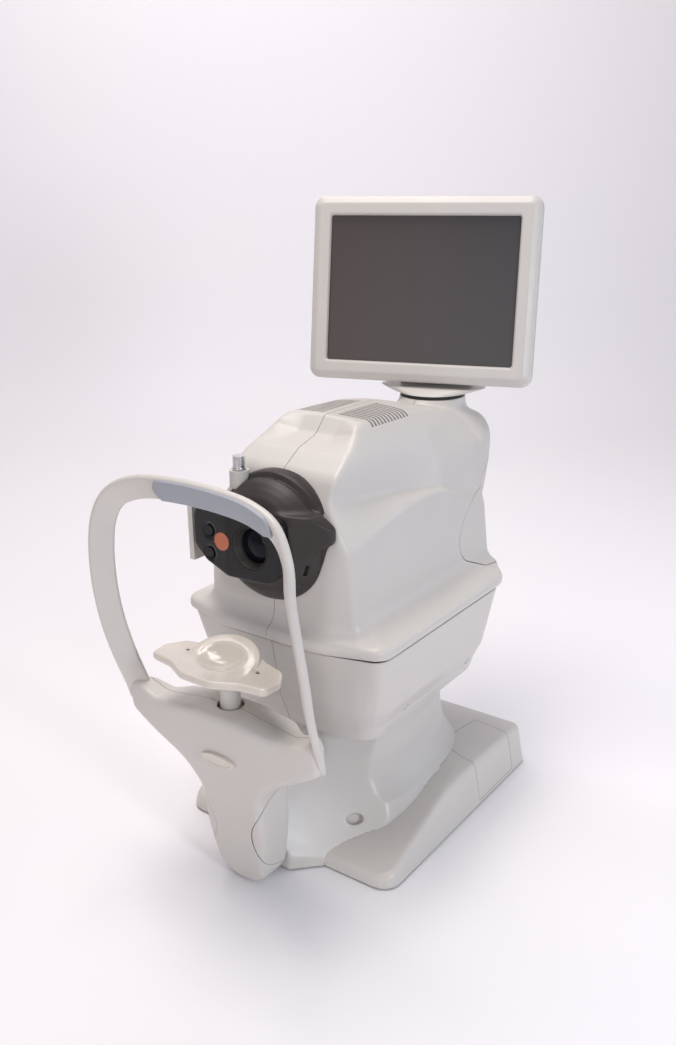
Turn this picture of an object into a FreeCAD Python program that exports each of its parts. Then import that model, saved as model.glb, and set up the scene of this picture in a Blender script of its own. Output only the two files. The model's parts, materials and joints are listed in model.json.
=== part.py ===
import FreeCAD, Part
import math
import os

os.makedirs("parts", exist_ok=True)
V = FreeCAD.Vector

# Driving dimensions, millimetres
WALL = 3.0
GAP = 0.4
BASE_HALF_W = 137.0
BASE_HALF_L = 157.0
FOOT_H = 4.0
SKIRT_TOP = 250.0
SHELF_BOTTOM = 253.0
LENS_Z = 355.0
NECK_Y = 142.0
NECK_R = 38.0
RING_TOP = 447.5
SCREEN_W = 216.0
SCREEN_H = 162.0
MONITOR_W = 260.0
MONITOR_H = 206.0
MONITOR_YAW = 16.9
MONITOR_TILT = 8.7
SCREEN_CENTRE = V(-12.8, 131.6, 562.2)
ARCH_W = 24.0
ARCH_T = 8.0
CHIN_Y = -227.0
CHIN_STEM_R = 10.0


def save(name, shape):
    shape.exportStep("parts/" + name + ".step")


def on_xy(z):
    return lambda u, v: V(u, v, z)


def on_yz(x):
    return lambda u, v: V(x, u, v)


def on_xz(y):
    return lambda u, v: V(u, y, v)


def corner(before, here, after, radius):
    a = (before - here).normalize()
    b = (after - here).normalize()
    half = math.acos(max(-1.0, min(1.0, a.dot(b)))) / 2
    reach = radius / math.tan(half)
    centre = here + (a + b).normalize() * (radius / math.sin(half))
    middle = centre + (here - centre).normalize() * radius
    return here + a * reach, middle, here + b * reach


def rounded_wire(corners, place):
    """Closed outline through (u, v, radius) corners."""
    flat = [V(u, v, 0) for u, v, r in corners]
    edges = []
    count = len(corners)
    spans = []
    for i in range(count):
        r = corners[i][2]
        following = flat[(i + 1) % count]
        straight = (flat[i] - flat[i - 1]).cross(following - flat[i]).Length < 1e-3
        if r > 0 and not straight:
            spans.append(corner(flat[i - 1], flat[i], following, r))
        else:
            spans.append((flat[i], None, flat[i]))
    for i in range(count):
        start, middle, end = spans[i]
        if middle is not None:
            arc = Part.Arc(place(start.x, start.y), place(middle.x, middle.y), place(end.x, end.y))
            edges.append(arc.toShape())
        following = spans[(i + 1) % count][0]
        if (following - end).Length > 1e-6:
            edges.append(Part.makeLine(place(end.x, end.y), place(following.x, following.y)))
    return Part.Wire(edges)


def slab(corners, place, direction, inset=0.0):
    face = Part.Face(rounded_wire(corners, place))
    if inset > 0:
        face = face.makeOffset2D(-inset).Faces[0]
    return face.extrude(direction)


def mirrored(right):
    """Outline symmetric about u = 0 from its right half, listed bottom to top."""
    return right + [(-u, v, r) for u, v, r in reversed(right)]


def rect(x0, x1, y0, y1, r, z):
    return rounded_wire([(x0, y0, r), (x1, y0, r), (x1, y1, r), (x0, y1, r)], on_xy(z))


def rect_xz(x0, x1, z0, z1, r, y):
    return rounded_wire([(x0, z0, r), (x1, z0, r), (x1, z1, r), (x0, z1, r)], on_xz(y))


def loft(wires, ruled=True):
    return Part.makeLoft(wires, True, ruled)


def box(x0, x1, y0, y1, z0, z1):
    return Part.makeBox(x1 - x0, y1 - y0, z1 - z0, V(x0, y0, z0))


def rod(x, y, z0, z1, r):
    return Part.makeCylinder(r, z1 - z0, V(x, y, z0))


def rod_y(x, z, y0, y1, r):
    return Part.makeCylinder(r, y1 - y0, V(x, y0, z), V(0, 1, 0))


def rod_x(y, z, x0, x1, r):
    return Part.makeCylinder(r, x1 - x0, V(x0, y, z), V(1, 0, 0))


def fuse(shapes):
    return shapes[0].multiFuse(shapes[1:]).removeSplitter()


def largest(shape):
    return max(shape.Solids, key=lambda s: s.Volume)


# ---------------------------------------------------------------- base
def base_outer(inset, lift=0.0):
    low = rect(-BASE_HALF_W + inset, BASE_HALF_W - inset, -BASE_HALF_L + inset, BASE_HALF_L - inset, 20,
               FOOT_H - lift)
    high = rect(-122 + inset, 122 - inset, -149 + inset, 152 - inset, 20, 80)
    side = [(-170, -20, 0), (-170, 12, 0), (-150, 21, 14), (-100, 36, 60), (-30, 55, 60),
            (40, 62, 60), (110, 57, 60), (152, 53, 12), (170, 40, 0), (170, -20, 0)]
    front = mirrored([(150, -20, 0), (150, 30, 0), (124, 58, 16), (60, 61, 60), (0.001, 63, 0)])
    body = loft([low, high])
    body = body.common(slab(side, on_yz(-150), V(300, 0, 0), inset))
    return body.common(slab(front, on_xz(-170), V(0, 340, 0), inset))


base_solid = base_outer(0)


def pedestal_outer(inset):
    sections = [
        (52, -160, 100, 30, 4),
        (72, -146, 108, 40, 34),
        (80, -132, 106, 44, 54),
        (70, -116, 96, 42, 90),
        (66, -108, 70, 36, 125),
        (72, -110, 56, 32, 190),
    ]
    wires = []
    for half, front, rear, r, z in sections:
        wires.append(rect(-half + inset, half - inset, front + inset, rear - inset, r - inset / 2, z))
    return loft(wires)


def tongue_outer(inset):
    side = [(-183.6, 4, 0), (-100, 4, 0), (-100, 96, 0), (-136, 76, 30), (-168, 56, 14), (-183.6, 50, 6)]
    plan = mirrored([(41, -190, 0), (52, -150, 30), (60, -90, 0)])
    solid = slab(side, on_yz(-70), V(140, 0, 0), inset)
    return solid.common(slab(plan, on_xy(0), V(0, 0, 120), inset))


pedestal_full = fuse([pedestal_outer(0), tongue_outer(0)])
pedestal_inner = fuse([pedestal_outer(WALL), tongue_outer(WALL)])
pedestal = pedestal_full.cut(pedestal_inner).cut(base_solid)
pedestal = pedestal.cut(box(-100, 100, -200, 200, 187, 200))
pedestal = pedestal.cut(box(-66, 66, -104, 50, 180, 200))

panel_outline = [(84, 46, 0), (150, 30, 0), (150, 113, 0), (84, 118, 6)]
panel_hole = slab(panel_outline, on_xy(12), V(0, 0, 80))
base_shell = base_solid.cut(base_outer(WALL, 8))
access_panel = largest(base_shell.common(slab(panel_outline, on_xy(12), V(0, 0, 80), GAP)))
base_shell = base_shell.cut(panel_hole)
base_shell = base_shell.cut(pedestal_outer(WALL)).cut(tongue_outer(WALL))
port_window = box(-60, 60, 145, 170, 14, 44)
base_shell = largest(base_shell.cut(port_window))
save("base_cover", base_shell)
save("access_panel", access_panel)

front_tongue = largest(pedestal.cut(box(-200, 200, -300, 300, -10, 4.5)))
save("pedestal_cover", front_tongue)

plate = loft([rect(-130.5, 130.5, -150.5, 150.5, 18, 4.4), rect(-130.5, 130.5, -150.5, 150.5, 18, 7.4)])
for sx in (-1, 1):
    for y in (-132, 132):
        plate = plate.cut(rod(sx * 112, y, 0, 20, 2.2))
save("base_plate", plate)

feet = []
for sx in (-1, 1):
    for y in (-132, 132):
        foot = Part.makeCone(13, 15, 4.2, V(sx * 112, y, 0))
        feet.append(foot)
save("rubber_feet", Part.makeCompound(feet))

screws = []
for sx in (-1, 1):
    for y in (-132, 132):
        shank = rod(sx * 112, y, 4.3, 12, 2.0)
        head = rod(sx * 112, y, 7.6, 10.6, 4.5)
        screws.append(fuse([shank, head]))
save("base_plate_screws", Part.makeCompound(screws))

# Rear port block with inlet and switch opening
port_block = box(-59.6, 59.6, 146, 151, 14.4, 43.6)
inlet_x = -34.0
switch_x = 2.0
port_block = port_block.cut(box(inlet_x - 14.2, inlet_x + 14.2, 140, 160, 19, 39))
port_block = port_block.cut(box(switch_x - 5.2, switch_x + 5.2, 140, 160, 19.8, 38.2))
for x in (24, 40):
    port_block = port_block.cut(box(x - 6, x + 6, 140, 160, 24, 32))
save("port_block", port_block)

inlet = box(inlet_x - 13.8, inlet_x + 13.8, 120, 151, 19.4, 38.6)
inlet = inlet.cut(box(inlet_x - 11.6, inlet_x + 11.6, 133, 152, 21.6, 36.4))
inlet = inlet.fuse(box(inlet_x - 16, inlet_x + 16, 151.2, 153, 17.4, 40.6).cut(
    box(inlet_x - 11.6, inlet_x + 11.6, 150, 154, 21.6, 36.4)))
for dx, dz in ((-7, -1.5), (0, 2.5), (7, -1.5)):
    inlet = inlet.fuse(box(inlet_x + dx - 1, inlet_x + dx + 1, 132, 147, 29 + dz - 2, 29 + dz + 2))
inlet = inlet.fuse(box(inlet_x - 13, inlet_x + 13, 150.5, 151.5, 38.2, 38.6)).removeSplitter()
save("power_inlet", largest(inlet))

rocker = rod_x(147, 29, switch_x - 4.8, switch_x + 4.8, 7.0)
rocker = rocker.common(box(-20, 20, 145, 160, 22.5, 35.5))
rocker = rocker.cut(rod_x(160, 29, -20, 20, 7.5))
save("power_switch", rocker)

# ---------------------------------------------------------------- inner base structure
frame_shape = fuse([
    box(-60, 60, -90, 50, 8.0, 12.0),
    box(-60, -54, -60, 30, 12, 120),
    box(54, 60, -60, 30, 12, 120),
    box(-60, 60, -60, 30, 116, 120),
])
POSTS = [(-40, -20), (40, -20)]
for x, y in POSTS:
    frame_shape = frame_shape.cut(rod(x, y, 0, 200, 8.0))
frame_shape = frame_shape.cut(rod(0, 10, 100, 200, 8.0))
save("lift_frame", frame_shape)
save("lift_posts", Part.makeCompound([rod(x, y, 8.2, 226, 8.0) for x, y in POSTS]))
motor = fuse([box(-21, 21, -11, 31, 70, 115.6), rod(0, 10, 115, 122, 7.0), rod(0, 10, 122, 226, 5.0)])
save("lift_motor", motor)
save("power_supply", box(-50, 50, 54, 116, 7.8, 46))
board = box(-112, 112, -128, -96, 12.0, 13.6)
for x in (-60, -20, 20, 60):
    board = board.fuse(box(x - 8, x + 8, -120, -104, 13.6, 17.0))
save("main_board", board.removeSplitter())

# ---------------------------------------------------------------- chin column
ARM = [(22, 2, 14), (31, 12, 16), (37, 60, 200), (38, 112, 30), (54, 139, 60), (90, 160, 60),
       (119, 178, 12), (125, 190, 12), (120, 209, 4), (108, 207.5, 4), (80, 199, 20), (24, 208, 6)]


def chin_outer(inset):
    outline = mirrored(ARM)
    solid = slab(outline, on_xz(-290), V(0, 140, 0), inset)
    side = [(-204, -10, 0), (-184, -10, 0), (-186, 110, 8), (-204, 140, 20), (-206, 230, 0),
            (-256, 230, 0), (-254, 200, 60), (-246, 150, 60), (-235, 100, 60), (-229, 46, 60), (-221, 2,
                                                                                                14)]
    solid = solid.common(slab(side, on_yz(-140), V(280, 0, 0), inset))
    plan = mirrored([(60, -180, 0), (66, -214, 30), (104, -222, 6), (117, -236, 4), (116, -247, 4),
                     (40, -256, 60)])
    return solid.common(slab(plan, on_xy(-20), V(0, 0, 260), inset))


chin_shell = chin_outer(0).cut(chin_outer(WALL))
chin_shell = chin_shell.cut(rod(0, CHIN_Y, 180, 240, CHIN_STEM_R + 3.5))


def strip_axes(outward):
    """Directions across and through the strip, which turns to face the patient at the top."""
    tilt = math.radians(45 + 25 * max(0.0, outward.z) ** 2)
    across = outward * math.sin(tilt) - V(0, 1, 0) * math.cos(tilt)
    through = outward * math.cos(tilt) + V(0, 1, 0) * math.sin(tilt)
    return across, through


ARCH_KEYS = [V(101, -226, 174), V(101, -234, 204), V(103, -246, 240), V(105.5, -256, 280),
             V(104.5, -263, 320), V(101, -266, 358), V(98, -264, 383), V(88, -263, 400),
             V(66, -262, 410), V(30, -262, 415)]
arch_keys = ARCH_KEYS + [V(-p.x, p.y, p.z) for p in reversed(ARCH_KEYS)]
arch_line = Part.BSplineCurve()
arch_line.interpolate(arch_keys)
first = arch_line.FirstParameter
last = arch_line.LastParameter


def arch_wires(start, stop, count, lift, scale):
    """Sections of the strip, or with a lift those of the pad on its inner face."""
    wires = []
    for i in range(count):
        t = start + (stop - start) * i / (count - 1)
        run = arch_line.tangent(t)[0]
        across, through = strip_axes(V(run.z, 0, -run.x).normalize())
        at = arch_line.value(t) + across * (ARCH_W * (1 - scale) / 2) - through * lift
        wide = across * (ARCH_W * scale)
        thick = through * (lift - 0.1 if lift > 0 else ARCH_T)
        ring = [at, at + wide, at + wide + thick, at + thick]
        wires.append(Part.makePolygon(ring + [ring[0]]))
    return wires


arch = loft(arch_wires(first, last, 41, 0, 1), False)
save("headrest_arch", arch)
middle = (first + last) / 2
span = last - first
pad = loft(arch_wires(middle - span * 0.126, middle + span * 0.063, 13, 3.5, 0.9), False)
save("forehead_pad", pad)

arch_room = loft(arch_wires(first, last, 41, 0, 1), False)
chin_shell = chin_shell.cut(arch_room)
side_zone = Part.makeCylinder(76, 300, V(-150, -160, 70), V(1, 0, 0))
side_inner = Part.makeCylinder(76 - GAP, 300, V(-150, -160, 70), V(1, 0, 0))
flank = fuse([box(-80, -24, -250, -150, -10, 140), box(24, 80, -250, -150, -10, 140)])
flank_in = fuse([box(-80, -24 - GAP, -250, -150, -10, 140), box(24 + GAP, 80, -250, -150, -10, 140)])
chin_sides = chin_shell.common(side_inner).common(flank_in)
chin_body = chin_shell.cut(side_zone.common(flank))
SEAM = [(-229.8, 260, 0), (-229.8, 152, 8), (-198, 134, 8), (-194, -20, 0), (-100, -20, 0), (-100, 260, 0)]
chin_front = chin_body.cut(slab(SEAM, on_yz(-200), V(400, 0, 0)))
chin_rear = chin_body.common(slab(SEAM, on_yz(-200), V(400, 0, 0), GAP))
save("chin_front_cover", largest(chin_front))
save("chin_rear_cover", largest(chin_rear))
sides = sorted(chin_sides.Solids, key=lambda s: -s.Volume)[:2]
save("chin_side_covers", Part.makeCompound(sides))

chin_frame = fuse([
    box(-22, 22, -214, -206, 12, 116),
    box(-22, 22, -206, -196, 12, 16),
])
save("chin_frame", chin_frame)
bush = rod(0, CHIN_Y, 160, 204, CHIN_STEM_R + 3.0).cut(rod(0, CHIN_Y, 140, 210, CHIN_STEM_R + 0.4))
save("chin_guide_bush", bush)
badge_matrix = FreeCAD.Matrix()
badge_matrix.scale(20.5, 1, 7.0)
badge_blank = Part.makeCylinder(1, 4, V(0, 0, 0), V(0, 1, 0)).transformGeometry(badge_matrix)
badge_blank.translate(V(0, -249.5, 157))
badge = badge_blank.cut(chin_outer(0))
save("badge_blank", largest(badge))

# ---------------------------------------------------------------- chin rest (slides up and down)
wing_face = [(18, -275, 20), (42, -263, 18), (70, -259, 7), (72, -238, 8), (60, -220, 12),
             (38, -214, 16), (16, -204, 10)]
chin_plate = slab(mirrored(wing_face), on_xy(248.5), V(0, 0, 8.5))
cup = Part.makeSphere(60, V(0, -234, 312))
lobe = slab(mirrored([(20, -262, 12), (34, -246, 16), (34, -214, 18), (16, -204, 10)]), on_xy(252),
            V(0, 0, 9))
chin_plate = chin_plate.fuse(lobe).cut(cup)
for x in (-43.4, 43.4):
    chin_plate = chin_plate.cut(rod(x, -236, 240, 270, 1.6))
save("chin_rest", largest(chin_plate.removeSplitter()))
save("paper_pins", Part.makeCompound([rod(x, -236, 247, 258.2, 1.3) for x in (-43.4, 43.4)]))
stem = rod(0, CHIN_Y, 160, 248.3, CHIN_STEM_R)
save("chin_stem", stem)

# ---------------------------------------------------------------- skirt (rides on the lift)
def skirt_plan(d, z):
    return rounded_wire([
        (-122 + d, -146 + d, 14), (-60 + d / 2, -162 + d, 60), (60 - d / 2, -162 + d, 60), (122 - d,
                                                                                            -146 + d, 14),
        (122 - d, 84 - d * 1.3, 20), (86 - d, 116 - d * 1.5, 30), (-86 + d, 116 - d * 1.5,
                                                                   30), (-122 + d, 84 - d * 1.3, 20),
    ], on_xy(z))


def skirt_outer(inset):
    return loft([skirt_plan(24 + inset, 147), skirt_plan(14 + inset, 184), skirt_plan(inset, SKIRT_TOP)])


skirt = skirt_outer(0).cut(skirt_outer(WALL))
left_half = box(-200, -GAP / 2, -250, 250, 100, 600)
right_half = box(GAP / 2, 200, -250, 250, 100, 600)
SCREW_Y = (-73, 55)
for y in SCREW_Y:
    skirt = skirt.cut(rod_x(y, 166, -140, 140, 3.4))
save("skirt_left", largest(skirt.common(left_half)))
save("skirt_right", largest(skirt.common(right_half)))
screw_list = []
for sx in (-1, 1):
    for y in SCREW_Y:
        a, b = sorted((sx * 92.0, sx * 102.0))
        screw_list.append(rod_x(y, 166, a, b, 3.0))
save("skirt_screws", Part.makeCompound(screw_list))

platform = fuse([
    box(-96, 96, -118, 72, 226, 231),
    box(-62, 62, -44, 24, 208, 226),
])
for x, y in POSTS:
    platform = platform.fuse(rod(x, y, 180, 226, 12.0))
platform = platform.fuse(rod(0, 10, 188, 226, 9.0))
for x, y in POSTS:
    platform = platform.cut(rod(x, y, 170, 240, 8.4))
platform = platform.cut(rod(0, 10, 170, 240, 5.4))
save("lift_platform", platform.removeSplitter())
save("cross_rails", Part.makeCompound([box(-92, 92, y - 5, y + 5, 231, 237) for y in (-70, 40)]))

# ---------------------------------------------------------------- cross carriage (slides left and right)
carriage = box(-46, 46, -86, 56, 240, 244)
for y in (-70, 40):
    for x in (-34, 34):
        block = box(x - 11, x + 11, y - 12, y + 12, 232, 240)
        block = block.cut(box(x - 12, x + 12, y - 5.4, y + 5.4, 230, 237.4))
        carriage = carriage.fuse(block)
save("cross_carriage", carriage.removeSplitter())
save("depth_rails", Part.makeCompound([box(x - 5, x + 5, -84, 54, 244, 250) for x in (-38, 38)]))

# ---------------------------------------------------------------- head (slides fore and aft)
def shelf_plan_wire(d, z):
    return rounded_wire([
        (-126 + d, -150 + d, 16), (-60 + d / 2, -170 + d * 0.6, 80), (60 - d / 2, -170 + d * 0.6,
                                                                      80), (126 - d, -150 + d, 16),
        (126 - d, 90 - d, 34), (92 - d, 134 - d, 30), (-92 + d, 134 - d, 30), (-126 + d, 90 - d, 34),
    ], on_xy(z))


def shelf_outer(inset):
    return loft([
        shelf_plan_wire(3 + inset, SHELF_BOTTOM), shelf_plan_wire(inset, 257),
        shelf_plan_wire(1.5 + inset, 264 - inset / 2), shelf_plan_wire(22 + inset,
                                                                       274 - inset), shelf_plan_wire(34 + inset, 288 - inset),
    ])


def waist_wire(front_half, rear_half, front_y, rear_y, r, z, inset):
    fh = front_half - inset
    rh = rear_half - inset
    return rounded_wire([(-fh, front_y + inset, r), (fh, front_y + inset, r), (rh, rear_y - inset, r),
                         (-rh, rear_y - inset, r)], on_xy(z))


def waist_outer(inset):
    return loft([
        waist_wire(92, 80, -156, 112, 14, SHELF_BOTTOM + 3, inset),
        waist_wire(84, 76, -158, 112, 14, 300, inset),
        waist_wire(80, 79, -156, 108, 14, 352 - inset / 2, inset),
        waist_wire(68, 72, -140, 90, 12, 384 - inset, inset),
    ])


def hood_outer(inset):
    side = [(-152, 340, 0), (100, 340, 0), (112, 436, 0), (100, 438, 30), (16, 460, 30), (-68, 460, 6),
            (-80, 446, 12), (-128, 425, 12), (-142, 395, 20)]
    front = mirrored([(70, 320, 0), (71, 398, 6), (60, 434, 12), (44, 458, 10), (20, 462, 0)])
    solid = slab(side, on_yz(-90), V(180, 0, 0), inset)
    return solid.common(slab(front, on_xz(-170), V(0, 300, 0), inset))


def pillar_outer(inset):
    side = [(40, 300, 0), (100, 262, 0), (132, 262, 6), (126, 296, 24), (140, 332, 40), (166, 372, 40),
            (178, 402, 40),
            (182, 428, 16), (40, 440, 0)]
    front = mirrored([(84, 255, 0), (78, 300, 60), (70, 360, 60), (66, 410, 20), (38, 436, 20)])
    plan = mirrored([(90, 30, 0), (86, 110, 40), (64, 186, 30)])
    solid = slab(side, on_yz(-90), V(180, 0, 0), inset)
    solid = solid.common(slab(front, on_xz(20), V(0, 180, 0), inset))
    return solid.common(slab(plan, on_xy(250), V(0, 0, 200), inset))


def head_outer(inset):
    return fuse([shelf_outer(inset), waist_outer(inset), hood_outer(inset), pillar_outer(inset)])


head_full = head_outer(0)
neck = rod(0, NECK_Y, 400, 444, NECK_R)
head_full = head_full.fuse(neck)
head_inner = head_outer(WALL)
head_inner = head_inner.fuse(rod(0, NECK_Y, 380, 441, NECK_R - WALL))
head_inner = head_inner.fuse(loft([shelf_plan_wire(6, 250), shelf_plan_wire(6, 256)]))
head_shell = head_full.cut(head_inner)
head_shell = head_shell.cut(rod_y(0, LENS_Z, -200, -120, 60))
head_shell = head_shell.cut(rod(0, NECK_Y, 430, 450, 14))
vent_pitch = 5.8
for i in range(12):
    y = -56 + i * vent_pitch
    for sx in (-1, 1):
        a, b = sorted((sx * 9, sx * 42))
        head_shell = head_shell.cut(box(a, b, y - 1.1, y + 1.1, 450, 470))
head_whole = head_shell.copy()
REAR_SEAM = [(70, 250, 0), (74, 300, 60), (66, 330, 30), (90, 352, 30), (200, 352, 0), (200, 250, 0)]
rear_zone = slab(REAR_SEAM, on_yz(-150), V(300, 0, 0))
rear_part = slab(REAR_SEAM, on_yz(-150), V(300, 0, 0), GAP)
save("head_rear_cover", largest(head_shell.common(rear_part)))
head_shell = head_shell.cut(rear_zone)
save("head_cover_left", largest(head_shell.common(left_half)))
save("head_cover_right", largest(head_shell.common(right_half)))

vent_screen = box(-41, 41, -60, 12, 452.6, 453.4)
save("vent_screen", vent_screen)

tray = loft([shelf_plan_wire(9.5, 253.4), shelf_plan_wire(9.5, 257.0)])
for x in (-38, 38):
    for y in (-45, 15):
        block = box(x - 12, x + 12, y - 14, y + 14, 245, 254)
        block = block.cut(box(x - 5.4, x + 5.4, y - 20, y + 20, 240, 250.4))
        tray = tray.fuse(block)
save("head_tray", tray.removeSplitter())

# Lens hood, face plate and objective
def ring_plan(half_w, z0, z1, r, y):
    return rect_xz(-half_w, half_w, z0, z1, r, y)


hood_ring = loft([ring_plan(66, LENS_Z - 66, LENS_Z + 66, 65.9, -138),
                  ring_plan(68, LENS_Z - 67, LENS_Z + 66, 60, -158),
                  ring_plan(64, 312, 398, 36, -170), ring_plan(58, 324, 388, 24, -179)])
wing = slab([(40, 326, 0), (58, 344, 8), (74, 362, 6), (75, 378, 6), (58, 391, 10), (40, 391, 0)],
            on_xz(-174), V(0, 20, 0))
hood_ring = hood_ring.fuse(wing)
hood_core = loft([ring_plan(59.6, LENS_Z - 59.6, LENS_Z + 59.6, 59.5, -136),
                  ring_plan(60, 300, 404, 40, -160),
                  ring_plan(54, 328, 384, 22, -176)])
hood_ring = hood_ring.cut(hood_core).cut(rod_y(0, LENS_Z, -200, -150, 24))
face_outline = [(-30, 320, 20), (20, 322, 24), (40, 338, 12), (40, 389, 8), (-60, 389, 10),
                (-76, 380, 14), (-76, 343, 10),
                (-60, 330, 14)]
bend = slab([(-92, -181, 0), (-38, -190, 30), (38, -190, 30), (92, -181, 0), (92, -172, 0), (38, -181, 30),
             (-38, -181, 30), (-92, -172, 0)], on_xy(300), V(0, 0, 110))
face = slab(face_outline, on_xz(-230), V(0, 80, 0)).common(bend)
face = face.cut(rod_y(0, LENS_Z, -210, -150, 21.5))
LED_SPOTS = [(-54, 362), (-54, 339)]
SENSOR_X = -35.0
for x, z in LED_SPOTS:
    face = face.cut(rod_y(x, z, -230, -150, 5.3))
    hood_ring = hood_ring.cut(rod_y(x, z, -187, -179.6, 5.2))
face = face.cut(rod_y(SENSOR_X, LENS_Z, -230, -150, 9.3))
save("face_plate", largest(face))
hood_ring = hood_ring.cut(face).cut(head_whole)
save("led_windows", Part.makeCompound([rod_y(x, z, -187, -180, 5.0) for x, z in LED_SPOTS]))
save("sensor_window", rod_y(SENSOR_X, LENS_Z, -190.5, -182.5, 9.0))

barrel = rod_y(0, LENS_Z, -190, -60, 21.0).cut(rod_y(0, LENS_Z, -200, -55, 17.5))
barrel = barrel.cut(Part.makeCone(20.5, 17.6, 8, V(0, -190.5, LENS_Z), V(0, 1, 0)))
save("objective_barrel", barrel)
lens_front = Part.makeSphere(40, V(0, -144, LENS_Z))
lens_back = Part.makeSphere(60, V(0, -232, LENS_Z))
save("objective_lens", lens_front.common(lens_back).common(rod_y(0, LENS_Z, -190, -165, 17.4)))

# Fixation bracket and its knob post
bracket = fuse([
    box(-86, -80, -182, -160, 324, 386),
    box(-86, -52, -164, -160, 374, 386),
])
save("fixation_bracket", bracket)
hood_ring = hood_ring.cut(bracket)
POST_X = -39.0
POST_Y = -156.0
post = rod(POST_X, POST_Y, 401, 418, 9.8)
save("fixation_post", post)
save("lens_hood", largest(hood_ring.cut(rod(POST_X, POST_Y, 395, 420, 9.8))))
knob = fuse([rod(POST_X, POST_Y, 418.6, 420.4, 7.0), rod(POST_X, POST_Y, 420.4, 432, 6.0)])
for i in range(18):
    a = 2 * math.pi * i / 18
    knob = knob.cut(rod(POST_X + 6.3 * math.cos(a), POST_Y + 6.3 * math.sin(a), 423, 430.5, 0.6))
save("fixation_knob", knob)

# Optics inside the head
bench = fuse([
    box(-50, 50, -60, 100, 300, 306),
    box(-50, -44, -50, 90, 257, 300),
    box(44, 50, -50, 90, 257, 300),
    box(-50, 50, -60, -54, 306, 330),
    box(-50, 50, 60, 66, 306, 330),
])
save("optical_bench", bench)
save("focus_rails", Part.makeCompound([rod_y(x, 322, -54, 60, 3.0) for x in (-30, 30)]))
carriage_block = box(-40, 40, -30, -10, 310, 378)
carriage_block = carriage_block.cut(rod_y(0, LENS_Z, -40, 0, 14))
for x in (-30, 30):
    carriage_block = carriage_block.cut(rod_y(x, 322, -40, 0, 3.4))
save("focus_carriage", carriage_block)
save("focus_lens", rod_y(0, LENS_Z, -24, -16, 14.0))
camera = fuse([box(-26, 26, 66.4, 96, 306, 382), rod_y(0, LENS_Z, 50, 67, 18)])
save("camera_module", camera)
save("lamp_module", box(-26, 26, 0, 40, 306, 314).fuse(box(-24, 24, 4, 36, 314, 330)).removeSplitter())

# ---------------------------------------------------------------- monitor swivel
ring = rod(0, NECK_Y, 444.2, 446.8, NECK_R - 1.0).cut(rod(0, NECK_Y, 440, 450, 12))
save("neck_ring", ring)


def turn(shape, pitch):
    out = shape.copy()
    out.rotate(V(0, 0, 0), V(1, 0, 0), -pitch)
    out.rotate(V(0, 0, 0), V(0, 0, 1), MONITOR_YAW)
    return out


def oval(half_x, half_y, z, back):
    return rounded_wire([(-half_x, back - half_y, half_y - 1), (half_x, back - half_y, half_y - 1),
                         (half_x, back + half_y, half_y - 1), (-half_x, back + half_y,
                                                               half_y - 1)], on_xy(z))


hump = loft([oval(37, 36.9, RING_TOP, 0), oval(50, 32, 451, 0), oval(62, 26, 454.6, 2)])
AXIS_BACK = 20.0
AXIS_Z = 463.0
ears = []
for x0, x1 in ((-42, -32), (32, 42)):
    ear = slab([(13, 450, 0), (27, 450, 0), (27, 470, 6.9), (13, 470, 6.9)], on_yz(x0), V(x1 - x0, 0, 0))
    ears.append(ear.cut(rod_x(AXIS_BACK, AXIS_Z, -60, 60, 3.4)))
swivel = fuse([hump] + ears)
swivel = swivel.fuse(rod(0, 0, 430, RING_TOP, 11.6)).cut(rod(0, 0, 420, 452, 7))
swivel = turn(swivel, 0)
swivel.translate(V(0, NECK_Y, 0))
save("monitor_swivel_base", swivel)

# ---------------------------------------------------------------- monitor
def screen_rect(half_w, half_h, r, y):
    return rect_xz(-half_w, half_w, -half_h, half_h, r, y)


def place_monitor(shape):
    out = turn(shape, MONITOR_TILT)
    out.translate(SCREEN_CENTRE)
    return out


hw = MONITOR_W / 2
hh = MONITOR_H / 2
bezel = loft([screen_rect(hw - 7, hh - 7, 9, -1.5), screen_rect(hw, hh, 12, 7),
              screen_rect(hw, hh, 12, 17)])
bezel = bezel.cut(loft([screen_rect(SCREEN_W / 2 + 1.5, SCREEN_H / 2 + 1.5, 3, -3),
                        screen_rect(SCREEN_W / 2, SCREEN_H / 2, 2, 1.5)]))
bezel = bezel.cut(loft([screen_rect(SCREEN_W / 2, SCREEN_H / 2, 2, 1),
                        screen_rect(SCREEN_W / 2, SCREEN_H / 2, 2, 4)]))
bezel = bezel.cut(loft([screen_rect(hw - 3, hh - 3, 9, 4), screen_rect(hw - 3, hh - 3, 9, 20)]))
save("monitor_bezel", place_monitor(bezel))
back = loft([screen_rect(hw - 0.5, hh - 0.5, 12, 17.4), screen_rect(hw - 6, hh - 6, 12, 26),
             screen_rect(hw - 26, hh - 26, 16, 40)])
back = back.cut(loft([screen_rect(hw - 3.5, hh - 3.5, 9, 16), screen_rect(hw - 9, hh - 9, 9, 25),
                      screen_rect(hw - 29, hh - 29, 12, 37)]))
for i in range(9):
    x = -64 + i * 16
    back = back.cut(box(x - 5, x + 5, 30, 50, 40, 43))
save("monitor_back_cover", place_monitor(back))
panel = loft([screen_rect(SCREEN_W / 2 + 6, SCREEN_H / 2 + 6, 1, 4.4),
              screen_rect(SCREEN_W / 2 + 6, SCREEN_H / 2 + 6, 1, 12)])
save("lcd_panel", place_monitor(panel))
pin = rod_x(AXIS_BACK, AXIS_Z, -43, 43, 3.0)
pin = turn(pin, 0)
pin.translate(V(0, NECK_Y, 0))
save("hinge_pin", pin)
knuckle = rod_x(AXIS_BACK, AXIS_Z, -30, 30, 7.0)
knuckle = knuckle.fuse(slab([(14, 464, 0), (26, 462, 0), (36, 500, 3), (20, 500, 0)], on_yz(-30),
                            V(60, 0, 0)))
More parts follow.
